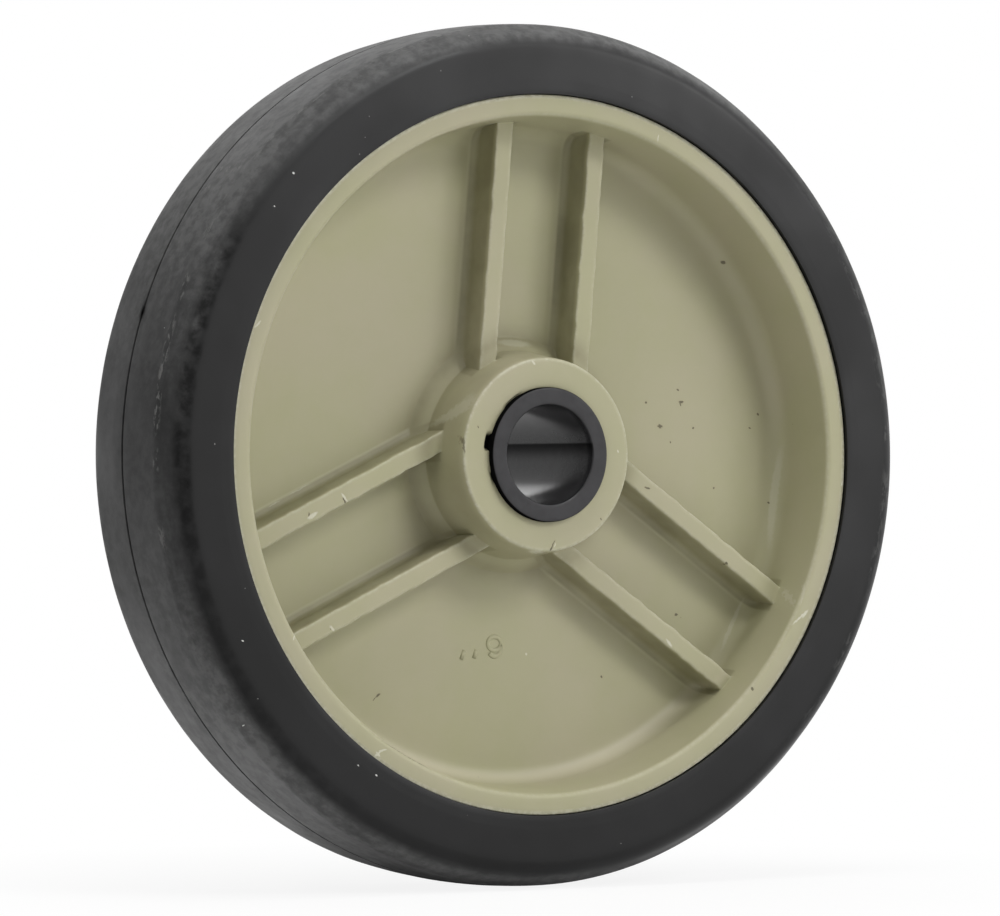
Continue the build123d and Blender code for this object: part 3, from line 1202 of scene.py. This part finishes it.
@dataclass
class Centre:
    """The plastic centre: a boss and a rim joined by a web, with pairs of ribs on both sides."""

    sizes: FrameSizes
    finish: PlasticFinish = field(default_factory=PlasticFinish)
    web_half: float = 1.75
    boss_wall: float = 5.15
    boss_half_width: float = 14.5
    boss_draft: float = 8.0
    boss_foot_leg: float = 2.2
    boss_foot_round: float = 0.5
    mouth_round: float = 0.1
    edge_round: float = 0.45
    rim_edge_round: float = 0.2
    rim_lip: float = 3.7
    rim_draft: float = 6.0
    rim_lip_round: float = 1.0
    rim_foot_round: float = 3.2
    rib_pair_angles: tuple[float, ...] = (85.1, 205.1, 325.1)
    rib_spacing: float = 19.1
    rib_height: float = 6.5
    rib_top_width: float = 3.3
    rib_draft: float = 2.0
    rib_top_round: float = 0.3
    rib_foot_round: float = 1.4
    rib_reach: float = 4.0
    columns_inside_pair: int = 14
    columns_between_pairs: int = 40
    blend: float = 0.9
    waver: float = 0.09
    waver_waves: int = 14
    waver_turns: tuple[float, float] = (0.5, 2.2)
    rib_edge_blur: float = 0.3
    rib_edge_wear_and_highlight: float = 0.5
    ring_blur: float = 0.35
    # Where the painted shade lies: low by the boss foot, up the boss side and on the rib sides.
    painted_shade_height: float = 1.6
    foot_shade_middle: float = 2.6
    foot_shade_reach: float = 2.8
    side_shade_reach: float = 4.0
    side_shade: float = 0.4
    rib_shade: float = 0.9
    sharp_angle: float = 40.0
    notches: tuple[MouthNotch, ...] = (
        MouthNotch(169.6, 1.4, 0.85, 1.3),
        MouthNotch(126.5, 2.2, 0.35, 0.4),
        MouthNotch(199.5, 1.0, 0.3, 0.4),
    )

    @property
    def boss_radius(self) -> float:
        """The radius of the boss at its face."""
        return self.sizes.bush_radius + self.boss_wall

    @property
    def rim_inner_radius(self) -> float:
        """The radius of the rim's lip on its inner side."""
        return self.sizes.rim_radius - self.rim_lip

    def half_section(self) -> np.ndarray:
        """The section of one side between the ribs, from the bush's seat over the web to the key.

        Returns:
            Rows of distance from the axle and distance from the middle plane.
        """
        key = self.sizes.key
        recess = self.sizes.rim_half_width - self.web_half
        boss_slope = math.tan(math.radians(self.boss_draft))
        foot_top = self.web_half + self.boss_foot_leg
        boss_foot = self.boss_radius + (self.boss_half_width - self.web_half) * boss_slope
        rim_foot = self.rim_inner_radius - recess * math.tan(math.radians(self.rim_draft))
        return rounded_path(
            [
                Corner(self.sizes.bush_radius, 0.0),
                Corner(self.sizes.bush_radius, self.boss_half_width, self.mouth_round, 5.0, 3),
                Corner(self.boss_radius, self.boss_half_width, self.edge_round, 0.38, 4),
                Corner(boss_foot - self.boss_foot_leg * boss_slope, foot_top, self.boss_foot_round, 0.55, 3),
                Corner(boss_foot + self.boss_foot_leg, self.web_half, self.boss_foot_round, 0.5, 3),
                Corner(rim_foot, self.web_half, self.rim_foot_round, 1.3, 8),
                Corner(self.rim_inner_radius, self.sizes.rim_half_width, self.rim_lip_round, 0.8, 6),
                Corner(self.sizes.rim_radius, self.sizes.rim_half_width, self.rim_edge_round, 0.8, 4),
                Corner(self.sizes.rim_radius, key.foot_half_width, 0.0, 3.0),
                Corner(self.sizes.key_radius, key.half_width),
                Corner(self.sizes.key_radius, 0.0, 0.0, 3.0),
            ]
        )

    def rib_section(self) -> np.ndarray:
        """Half of a rib's section, from the middle of its top to the web.

        Returns:
            Rows of distance from the rib's middle and height over the web.
        """
        top = self.rib_top_width / 2
        foot = top + self.rib_height * math.tan(math.radians(self.rib_draft))
        return rounded_path(
            [
                Corner(0.0, self.rib_height),
                Corner(top, self.rib_height, self.rib_top_round, 0.5, 3),
                Corner(foot, 0.0, self.rib_foot_round, 1.1, 6),
                Corner(self.rib_reach, 0.0, 0.0, 0.5),
            ]
        )

    def columns(self, radius: np.ndarray) -> tuple[np.ndarray, np.ndarray, np.ndarray]:
        """The angle of each column at each ring, and the rib's height there.

        Columns on a rib keep their distance from the pair's middle line, so
        their angle from that line is the arc sine of that distance over the
        radius. The columns between two pairs share the angle left over evenly.

        Args:
            radius: The radius of each ring.

        Returns:
            Angles in radians by ring and column, rib heights and rib edge masks by column.
        """
        section = self.rib_section()
        offset = np.concatenate([-section[:0:-1, 0], section[:, 0]])
        height = np.concatenate([section[:0:-1, 1], section[:, 1]])
        half = self.rib_spacing / 2
        inside = np.linspace(offset[-1] - half, half - offset[-1], self.columns_inside_pair + 2)[1:-1]
        across = np.concatenate([offset - half, inside, offset + half])
        heights = np.concatenate([height, np.zeros(len(inside)), height])
        reach = np.clip(radius, self.boss_radius, self.rim_inner_radius)[:, None]
        fan = np.arcsin((across[None, :] + self.wavers(reach[:, 0], across, heights)) / reach)
        share = np.linspace(0, 1, self.columns_between_pairs + 2)[1:-1]
        pitch = 2 * math.pi / len(self.rib_pair_angles)
        left_over = pitch - (fan[:, -1:] - fan[:, :1])
        pair = np.concatenate([fan, fan[:, -1:] + share[None, :] * left_over], axis=1)
        angles = np.concatenate([math.radians(a) + pair for a in self.rib_pair_angles], axis=1)
        heights = np.concatenate([heights, np.zeros(len(share))])
        # The rib tops' edges are worn pale, which also stands for a painted highlight along them.
        from_edge = np.abs(np.abs(across) - half) - self.rib_top_width / 2
        edge = np.concatenate([np.exp(-((from_edge / self.rib_edge_blur) ** 2)), np.zeros(len(share))])
        edge = edge * (heights > 0.97 * self.rib_height) * self.rib_edge_wear_and_highlight
        count = len(self.rib_pair_angles)
        return angles, np.tile(heights, count), np.tile(edge, count)

    def wavers(self, radius: np.ndarray, across: np.ndarray, heights: np.ndarray) -> np.ndarray:
        """How far the top edges of the ribs stray from a straight line, as in a worn mould.

        Each edge gets its own sum of waves along the rib, with seeded phases.

        Args:
            radius: The radius of each ring.
            across: The distance of each column from the pair's middle line.
            heights: The rib's height at each column.

        Returns:
            The sideways shift of each ring and column, in millimetres.
        """
        draw = np.random.default_rng(11)
        half = self.rib_spacing / 2
        side = np.sign(np.abs(across) - half) + 3 * np.sign(across)
        shift = np.zeros((len(radius), len(across)))
        for edge in np.unique(side):
            turns = draw.uniform(*self.waver_turns, (self.waver_waves, 1))
            phase = draw.uniform(0, 2 * math.pi, (self.waver_waves, 1))
            line = np.sin(turns * radius[None, :] + phase).mean(axis=0) * math.sqrt(self.waver_waves)
            shift += line[:, None] * ((side == edge) & (np.abs(np.abs(across) - half) > 0.3))
        return self.waver * shift * (heights / self.rib_height) ** 2

    def notch_depth(self, radius: np.ndarray, angles: np.ndarray) -> np.ndarray:
        """How far the boss face is broken away at the bush.

        Each notch is a soft box: one flat-topped bell across its width, times
        another from the bush outwards over its reach.

        Args:
            radius: The radius of each ring.
            angles: The angle of each point.

        Returns:
            The depth at each point.
        """
        depth = np.zeros_like(angles)
        outward = radius[:, None] - self.sizes.bush_radius
        for notch in self.notches:
            turn = (angles - math.radians(notch.angle) + math.pi) % (2 * math.pi) - math.pi
            sideways = turn * self.sizes.bush_radius / notch.half_width
            box = np.exp(-(sideways**6)) * np.exp(-((outward / notch.reach) ** 6))
            depth = np.maximum(depth, notch.depth * box)
        return depth

    def side_grid(self, path: np.ndarray, side: Side) -> tuple[np.ndarray, dict[str, np.ndarray]]:
        """The points of one side and their masks.

        Over the web, the depth is that of the web plus the larger one of the
        two heights of the plain section and of the rib. Where they differ by
        less than the blend, the square of what is missing, over four times
        the blend, is added, which leaves a small round between the two.

        Args:
            path: The half section.
            side: Which side it is.

        Returns:
            The grid, and the masks of worn edges with painted highlight, of painted shade and of gaps.
        """
        radius, depth = path[:, 0], path[:, 1]
        angles, rib_height, rib_edge = self.columns(radius)
        inner, outer = self.boss_radius - self.edge_round, self.sizes.rim_radius - self.edge_round
        recess = (radius > inner) & (radius < outer)
        plain = np.clip(depth - self.web_half, 0, None)[:, None] * np.ones_like(angles)
        near = np.clip(self.blend - np.abs(plain - rib_height[None, :]), 0, None)
        near = near * (rib_height[None, :] > 0.01)
        joined = np.maximum(plain, rib_height[None, :]) + near**2 / (4 * self.blend) + self.web_half
        full = np.where(recess[:, None], joined, depth[:, None])
        inside_boss = (radius < self.boss_radius) & (side is Side.FRONT)
        floor = self.boss_half_width - self.notch_depth(radius, angles)
        notch = np.clip(full - floor, 0, None) * inside_boss[:, None]
        grid = turned(radius[:, None], side.value * (full - notch), angles)
        return grid, self.masks(path, plain, rib_height, rib_edge, notch)

    def masks(
        self,
        path: np.ndarray,
        plain: np.ndarray,
        rib_height: np.ndarray,
        rib_edge: np.ndarray,
        notch: np.ndarray,
    ) -> dict[str, np.ndarray]:
        """Where edges are worn pale and carry a painted highlight, where shade is painted, and where a gap is
        dark.

        Args:
            path: The half section.
            plain: The section's height over the web at each point.
            rib_height: The rib's height at each column.
            rib_edge: How near each column is to a rib's top edge.
            notch: How far the boss face is broken away.

        Returns:
            The three masks by name.
        """
        radius, depth = path[:, 0, None], path[:, 1, None]
        # Pale worn rings on the lips and the boss face, partly painted highlight where these edges catch
        # light.
        edges = (
            (0.8, self.rim_inner_radius, self.sizes.rim_half_width),
            (1.5, self.sizes.rim_radius, self.sizes.rim_half_width),
            (0.9, self.boss_radius, self.boss_half_width),
        )
        rings = sum(
            wear_and_highlight * np.exp(-((np.hypot(radius - edge_radius, depth - edge_depth) / self.ring_blur) ** 2))
            for wear_and_highlight, edge_radius, edge_depth in edges
        )
        below_top = plain < self.rib_height
        worn = np.clip(np.maximum(rings, rib_edge[None, :] * below_top), 0, 1)
        # Painted shade: darker low by the boss foot, up the boss side and on the rib sides.
        low = np.exp(-((plain / self.painted_shade_height) ** 2))
        from_foot = radius - self.boss_radius - self.foot_shade_middle
        boss_foot = np.exp(-((from_foot / self.foot_shade_reach) ** 2)) * low
        boss_side = (radius < self.boss_radius + self.side_shade_reach) * self.side_shade
        boss_side = boss_side * np.clip(self.boss_half_width - 0.7 - depth, 0, 1)
        rib_side = (rib_height > 0.02) & (rib_height < 0.85 * self.rib_height)
        grime = np.maximum(boss_foot, np.maximum(boss_side, rib_side[None, :] * below_top * self.rib_shade))
        beside_tyre = radius > self.sizes.rim_radius - 0.1
        gap = beside_tyre * np.clip((self.sizes.rim_half_width - depth - 0.35) / 0.5, 0, 1)
        gap = np.maximum(gap, np.clip(notch, 0, 1))
        return {"worn": worn, "grime": grime, "gap": gap}

    def build(self) -> bpy.types.Object:
        """Builds and dresses the centre.

        Returns:
            The piece that stands for the solid centre.
        """
        path = self.half_section()
        front, front_masks = self.side_grid(path, Side.FRONT)
        back, back_masks = self.side_grid(path, Side.BACK)
        inner = slice(-2, 0, -1)
        grid = np.concatenate([front, back[inner]])
        masks = {name: np.concatenate([mask, back_masks[name][inner]]) for name, mask in front_masks.items()}
        piece = closed_grid_object("ribbed_centre", grid, self.sharp_angle, masks)
        attach(piece, "wheel_centre", "centre", self.finish.material())
        return piece


@dataclass
class SizeMark:
    """The raised wheel size, six inches, in round strokes, upside down on the web below the boss."""

    centre: Centre
    middle_x: float = -3.0
    middle_z: float = -33.9
    half_width: float = 1.35
    half_height: float = 1.75
    loop_half_height: float = 1.2
    tail_start: float = 40.0
    loop_end: float = 532.0
    ticks: tuple[tuple[tuple[float, float], ...], ...] = (
        ((3.7, 0.5), (4.2, 2.0)),
        ((6.2, 0.6), (6.8, 2.15)),
    )
    stroke_radius: float = 0.42
    relief: float = 0.22

    def strokes(self) -> list[np.ndarray]:
        """The middle lines of the strokes, upright and about the digit's middle.

        The digit runs along a half ellipse from its free end to its left
        side, and then round the smaller ellipse of its loop, until its end
        lies inside its own stroke.

        Returns:
            One array of points across and up for each stroke.
        """
        tail = np.radians(np.linspace(self.tail_start, 180, 16)[:-1])
        loop = np.radians(np.linspace(180, self.loop_end, 33))
        loop_middle = self.loop_half_height - self.half_height
        tail_up = self.half_height * np.sin(tail)
        loop_up = loop_middle + self.loop_half_height * np.sin(loop)
        across = self.half_width * np.cos(np.concatenate([tail, loop]))
        digit = np.column_stack([across, np.concatenate([tail_up, loop_up])])
        return [digit, *(np.array(tick) for tick in self.ticks)]

    def bars(self) -> bpy.types.Mesh:
        """Makes a round bar along each stroke.

        Returns:
            A closed mesh in millimetres, upright and about the digit's middle.
        """
        curve = bpy.data.curves.new("size_strokes", "CURVE")
        curve.dimensions = "3D"
        curve.bevel_depth = self.stroke_radius
        curve.bevel_resolution = 3
        curve.use_fill_caps = True
        for stroke in self.strokes():
            spline = curve.splines.new("POLY")
            spline.points.add(len(stroke) - 1)
            points = np.column_stack([stroke, np.zeros(len(stroke)), np.ones(len(stroke))])
            spline.points.foreach_set("co", points.astype(np.float32).ravel())
        holder = bpy.data.objects.new("size_strokes", curve)
        bpy.context.scene.collection.objects.link(holder)
        mesh = bpy.data.meshes.new_from_object(holder.evaluated_get(bpy.context.evaluated_depsgraph_get()))
        bpy.data.objects.remove(holder)
        closed = bmesh.new()
        closed.from_mesh(mesh)
        bmesh.ops.remove_doubles(closed, verts=closed.verts, dist=self.stroke_radius / 1000)
        bmesh.ops.recalc_face_normals(closed, faces=closed.faces)
        closed.to_mesh(mesh)
        closed.free()
        return mesh

    def build(self, material: bpy.types.Material) -> bpy.types.Object:
        """Builds the mark, with each bar half in the web and flattened to the relief.

        Args:
            material: The centre's material, because the mark is moulded with it.

        Returns:
            The piece.
        """
        mesh = self.bars()
        points = np.zeros(len(mesh.vertices) * 3, np.float32)
        mesh.vertices.foreach_get("co", points)
        across, up, out = points.reshape(-1, 3).T
        depth = self.centre.web_half + out * self.relief / self.stroke_radius
        placed = np.stack([self.middle_x - across, -depth, self.middle_z - up], axis=-1)
        mesh.vertices.foreach_set("co", (placed * MILLIMETRE).astype(np.float32).ravel())
        mesh.update()
        mesh.name = "size_mark"
        mesh.shade_smooth()
        piece = bpy.data.objects.new("size_mark", mesh)
        bpy.context.scene.collection.objects.link(piece)
        attach(piece, None, "centre", material)
        return piece


@dataclass
class Bush:
    """The plain black bush that lines the boss and stands out a little at both ends."""

    sizes: FrameSizes
    finish: BushFinish = field(default_factory=BushFinish)
    outer_round: float = 0.3
    inner_round: float = 0.35
    columns: int = 256
    sharp_angle: float = 40.0

    def build(self) -> bpy.types.Object:
        """Builds and dresses the bush.

        Returns:
            The piece that stands for the solid bush.
        """
        half_length = self.sizes.bush_half_length
        path = rounded_path(
            [
                Corner(self.sizes.bore_radius, 0.0),
                Corner(self.sizes.bore_radius, half_length, self.inner_round, 1.5, 4),
                Corner(self.sizes.bush_radius, half_length, self.outer_round, 0.5, 4),
                Corner(self.sizes.bush_radius, 0.0, 0.0, 4.0),
            ]
        )
        section = both_sides(path)
        angles = np.linspace(0, 2 * math.pi, self.columns, endpoint=False)
        grid = turned(section[:, :1], section[:, 1:], angles)
        piece = closed_grid_object("plain_bush", grid, self.sharp_angle)
        attach(piece, "bush", "bush", self.finish.material(self.sizes))
        return piece


@dataclass(frozen=True)
class Lamp:
    """A square soft lamp: where it hangs, how wide it is and how strong, aimed at the wheel."""

    name: str
    place: tuple[float, float, float]
    width: float
    watts: float


@dataclass
class Studio:
    """A pale floor, soft lamps and the camera at the photograph's place."""

    sizes: FrameSizes
    azimuth: float = -0.5475
    elevation: float = -0.0063
    distance: float = 1.0
    aim_right: float = -0.00065
    aim_up: float = -0.00051
    lens: float = 202.86
    sensor_width: float = 36.0
    clip: tuple[float, float] = (0.05, 20.0)
    ambient: float = 0.10
    floor_tone: tuple[float, float, float, float] = (0.9, 0.9, 0.9, 1)
    floor_half: float = 1.5
    seen_shadow: float = 0.12
    seen_shadow_reach: tuple[float, float] = (0.08, 0.16)
    mirrored_shadow: float = 0.9
    mirrored_shadow_reach: tuple[float, float] = (0.077, 0.094)
    lamps: tuple[Lamp, ...] = (
        Lamp("key_lamp", (0.50, -1.35, 1.12), 0.5, 10.3),
        Lamp("top_lamp", (-0.25, -0.15, 1.6), 0.7, 7.5),
        Lamp("low_top_lamp", (0.0, -0.45, 1.5), 0.4, 3.0),
        Lamp("low_left_lamp", (-1.1, -0.4, 1.1), 0.4, 4.0),
        Lamp("low_right_lamp", (1.0, -1.35, 0.15), 0.7, 3.6),
        Lamp("side_lamp", (1.6, -0.6, 0.25), 0.7, 1.0),
        Lamp("sheen_lamp", (0.787, -0.787, 0.45), 0.35, 2.0),
        Lamp("back_lamp", (0.9, 0.9, 1.1), 0.9, 3.0),
        Lamp("back_top_lamp", (0.05, 1.3, 0.9), 0.5, 2.0),
    )

    def add_camera(self) -> None:
        """Places the camera: its back and right axes come from its azimuth and elevation."""
        sin_a, cos_a = math.sin(self.azimuth), math.cos(self.azimuth)
        sin_e, cos_e = math.sin(self.elevation), math.cos(self.elevation)
        back = Vector((sin_a * cos_e, -cos_a * cos_e, sin_e))
        right = Vector((cos_a, sin_a, 0))
        up = back.cross(right)
        data = bpy.data.cameras.new("camera")
        data.lens = self.lens
        data.sensor_width = self.sensor_width
        data.clip_start, data.clip_end = self.clip
        camera = bpy.data.objects.new("camera", data)
        turn = Matrix((right, up, back)).transposed().to_4x4()
        place = back * self.distance + right * self.aim_right + up * self.aim_up
        camera.matrix_world = Matrix.Translation(place) @ turn
        bpy.context.scene.collection.objects.link(camera)
        bpy.context.scene.camera = camera

    def add_lamps(self) -> None:
        """Hangs the lamps, each turned towards the middle of the wheel."""
        for lamp in self.lamps:
            data = bpy.data.lights.new(lamp.name, "AREA")
            data.size = lamp.width
            data.energy = lamp.watts
            holder = bpy.data.objects.new(lamp.name, data)
            holder.location = lamp.place
            holder.rotation_euler = (-Vector(lamp.place)).to_track_quat("-Z", "Y").to_euler()
            bpy.context.scene.collection.objects.link(holder)

    def add_world(self) -> None:
        """Makes the surroundings white where they are seen or mirrored, and dimmer as a light."""
        world = bpy.data.worlds.new("studio")
        world.use_nodes = True
        nodes = Nodes(world.node_tree, "ShaderNodeOutputWorld")
        camera, mirrored, through = nodes.rays()
        strength = nodes.node(
            "ShaderNodeMapRange",
            sockets={"Value": camera.larger(mirrored.larger(through)), "To Min": self.ambient, "To Max": 1.0},
            output="Result",
        )
        sky = {"Color": (1, 1, 1, 1), "Strength": strength}
        nodes.close(nodes.node("ShaderNodeBackground", sockets=sky, output="Background"))
        bpy.context.scene.world = world

    def floor_material(self) -> bpy.types.Material:
        """Makes a pale floor that stays white where it is seen, but for the wheel's soft shadow.

        Returns:
            The material.
        """
        skin = Shader("pale_floor")
        camera, mirrored, through = skin.rays()
        away = skin.vector("LENGTH", skin.place, output="Value") * MILLIMETRE
        seen_shadow = away.rise(*self.seen_shadow_reach[::-1]) * self.seen_shadow
        mirrored_shadow = away.rise(*self.mirrored_shadow_reach[::-1]) * self.mirrored_shadow
        white = skin.node("ShaderNodeEmission", sockets={"Strength": 1.0}, output="Emission")
        pale = skin.node("ShaderNodeBsdfDiffuse", sockets={"Color": self.floor_tone}, output="BSDF")
        seen = camera.larger(through) * (1 - seen_shadow)
        factor = seen.larger(mirrored * (1 - mirrored_shadow))
        skin.close(skin.node("ShaderNodeMixShader", sockets={0: factor, 1: pale, 2: white}, output="Shader"))
        return skin.material

    def add_floor(self) -> None:
        """Lays the floor under the tread as one square."""
        half, low = self.floor_half, -self.sizes.tread_radius * MILLIMETRE
        mesh = bpy.data.meshes.new("floor")
        corners = [(-half, -half, low), (half, -half, low), (half, half, low), (-half, half, low)]
        mesh.from_pydata(corners, [], [(0, 1, 2, 3)])
        mesh.materials.append(self.floor_material())
        floor = bpy.data.objects.new("floor", mesh)
        bpy.context.scene.collection.objects.link(floor)

    def build(self) -> None:
        """Builds the whole studio."""
        self.add_camera()
        self.add_lamps()
        self.add_world()
        self.add_floor()
        bpy.context.scene.view_settings.view_transform = "Standard"


def main() -> None:
    """Builds the studio and the pieces, and reports each piece."""
    logging.basicConfig(level=logging.INFO, format="%(name)s: %(message)s")
    sizes = FrameSizes.read()
    Studio(sizes).build()
    Tyre(sizes).build()
    centre = Centre(sizes)
    ribbed = centre.build()
    SizeMark(centre).build(ribbed.data.materials[0])
    Bush(sizes).build()


if __name__ == "__main__":
    main()
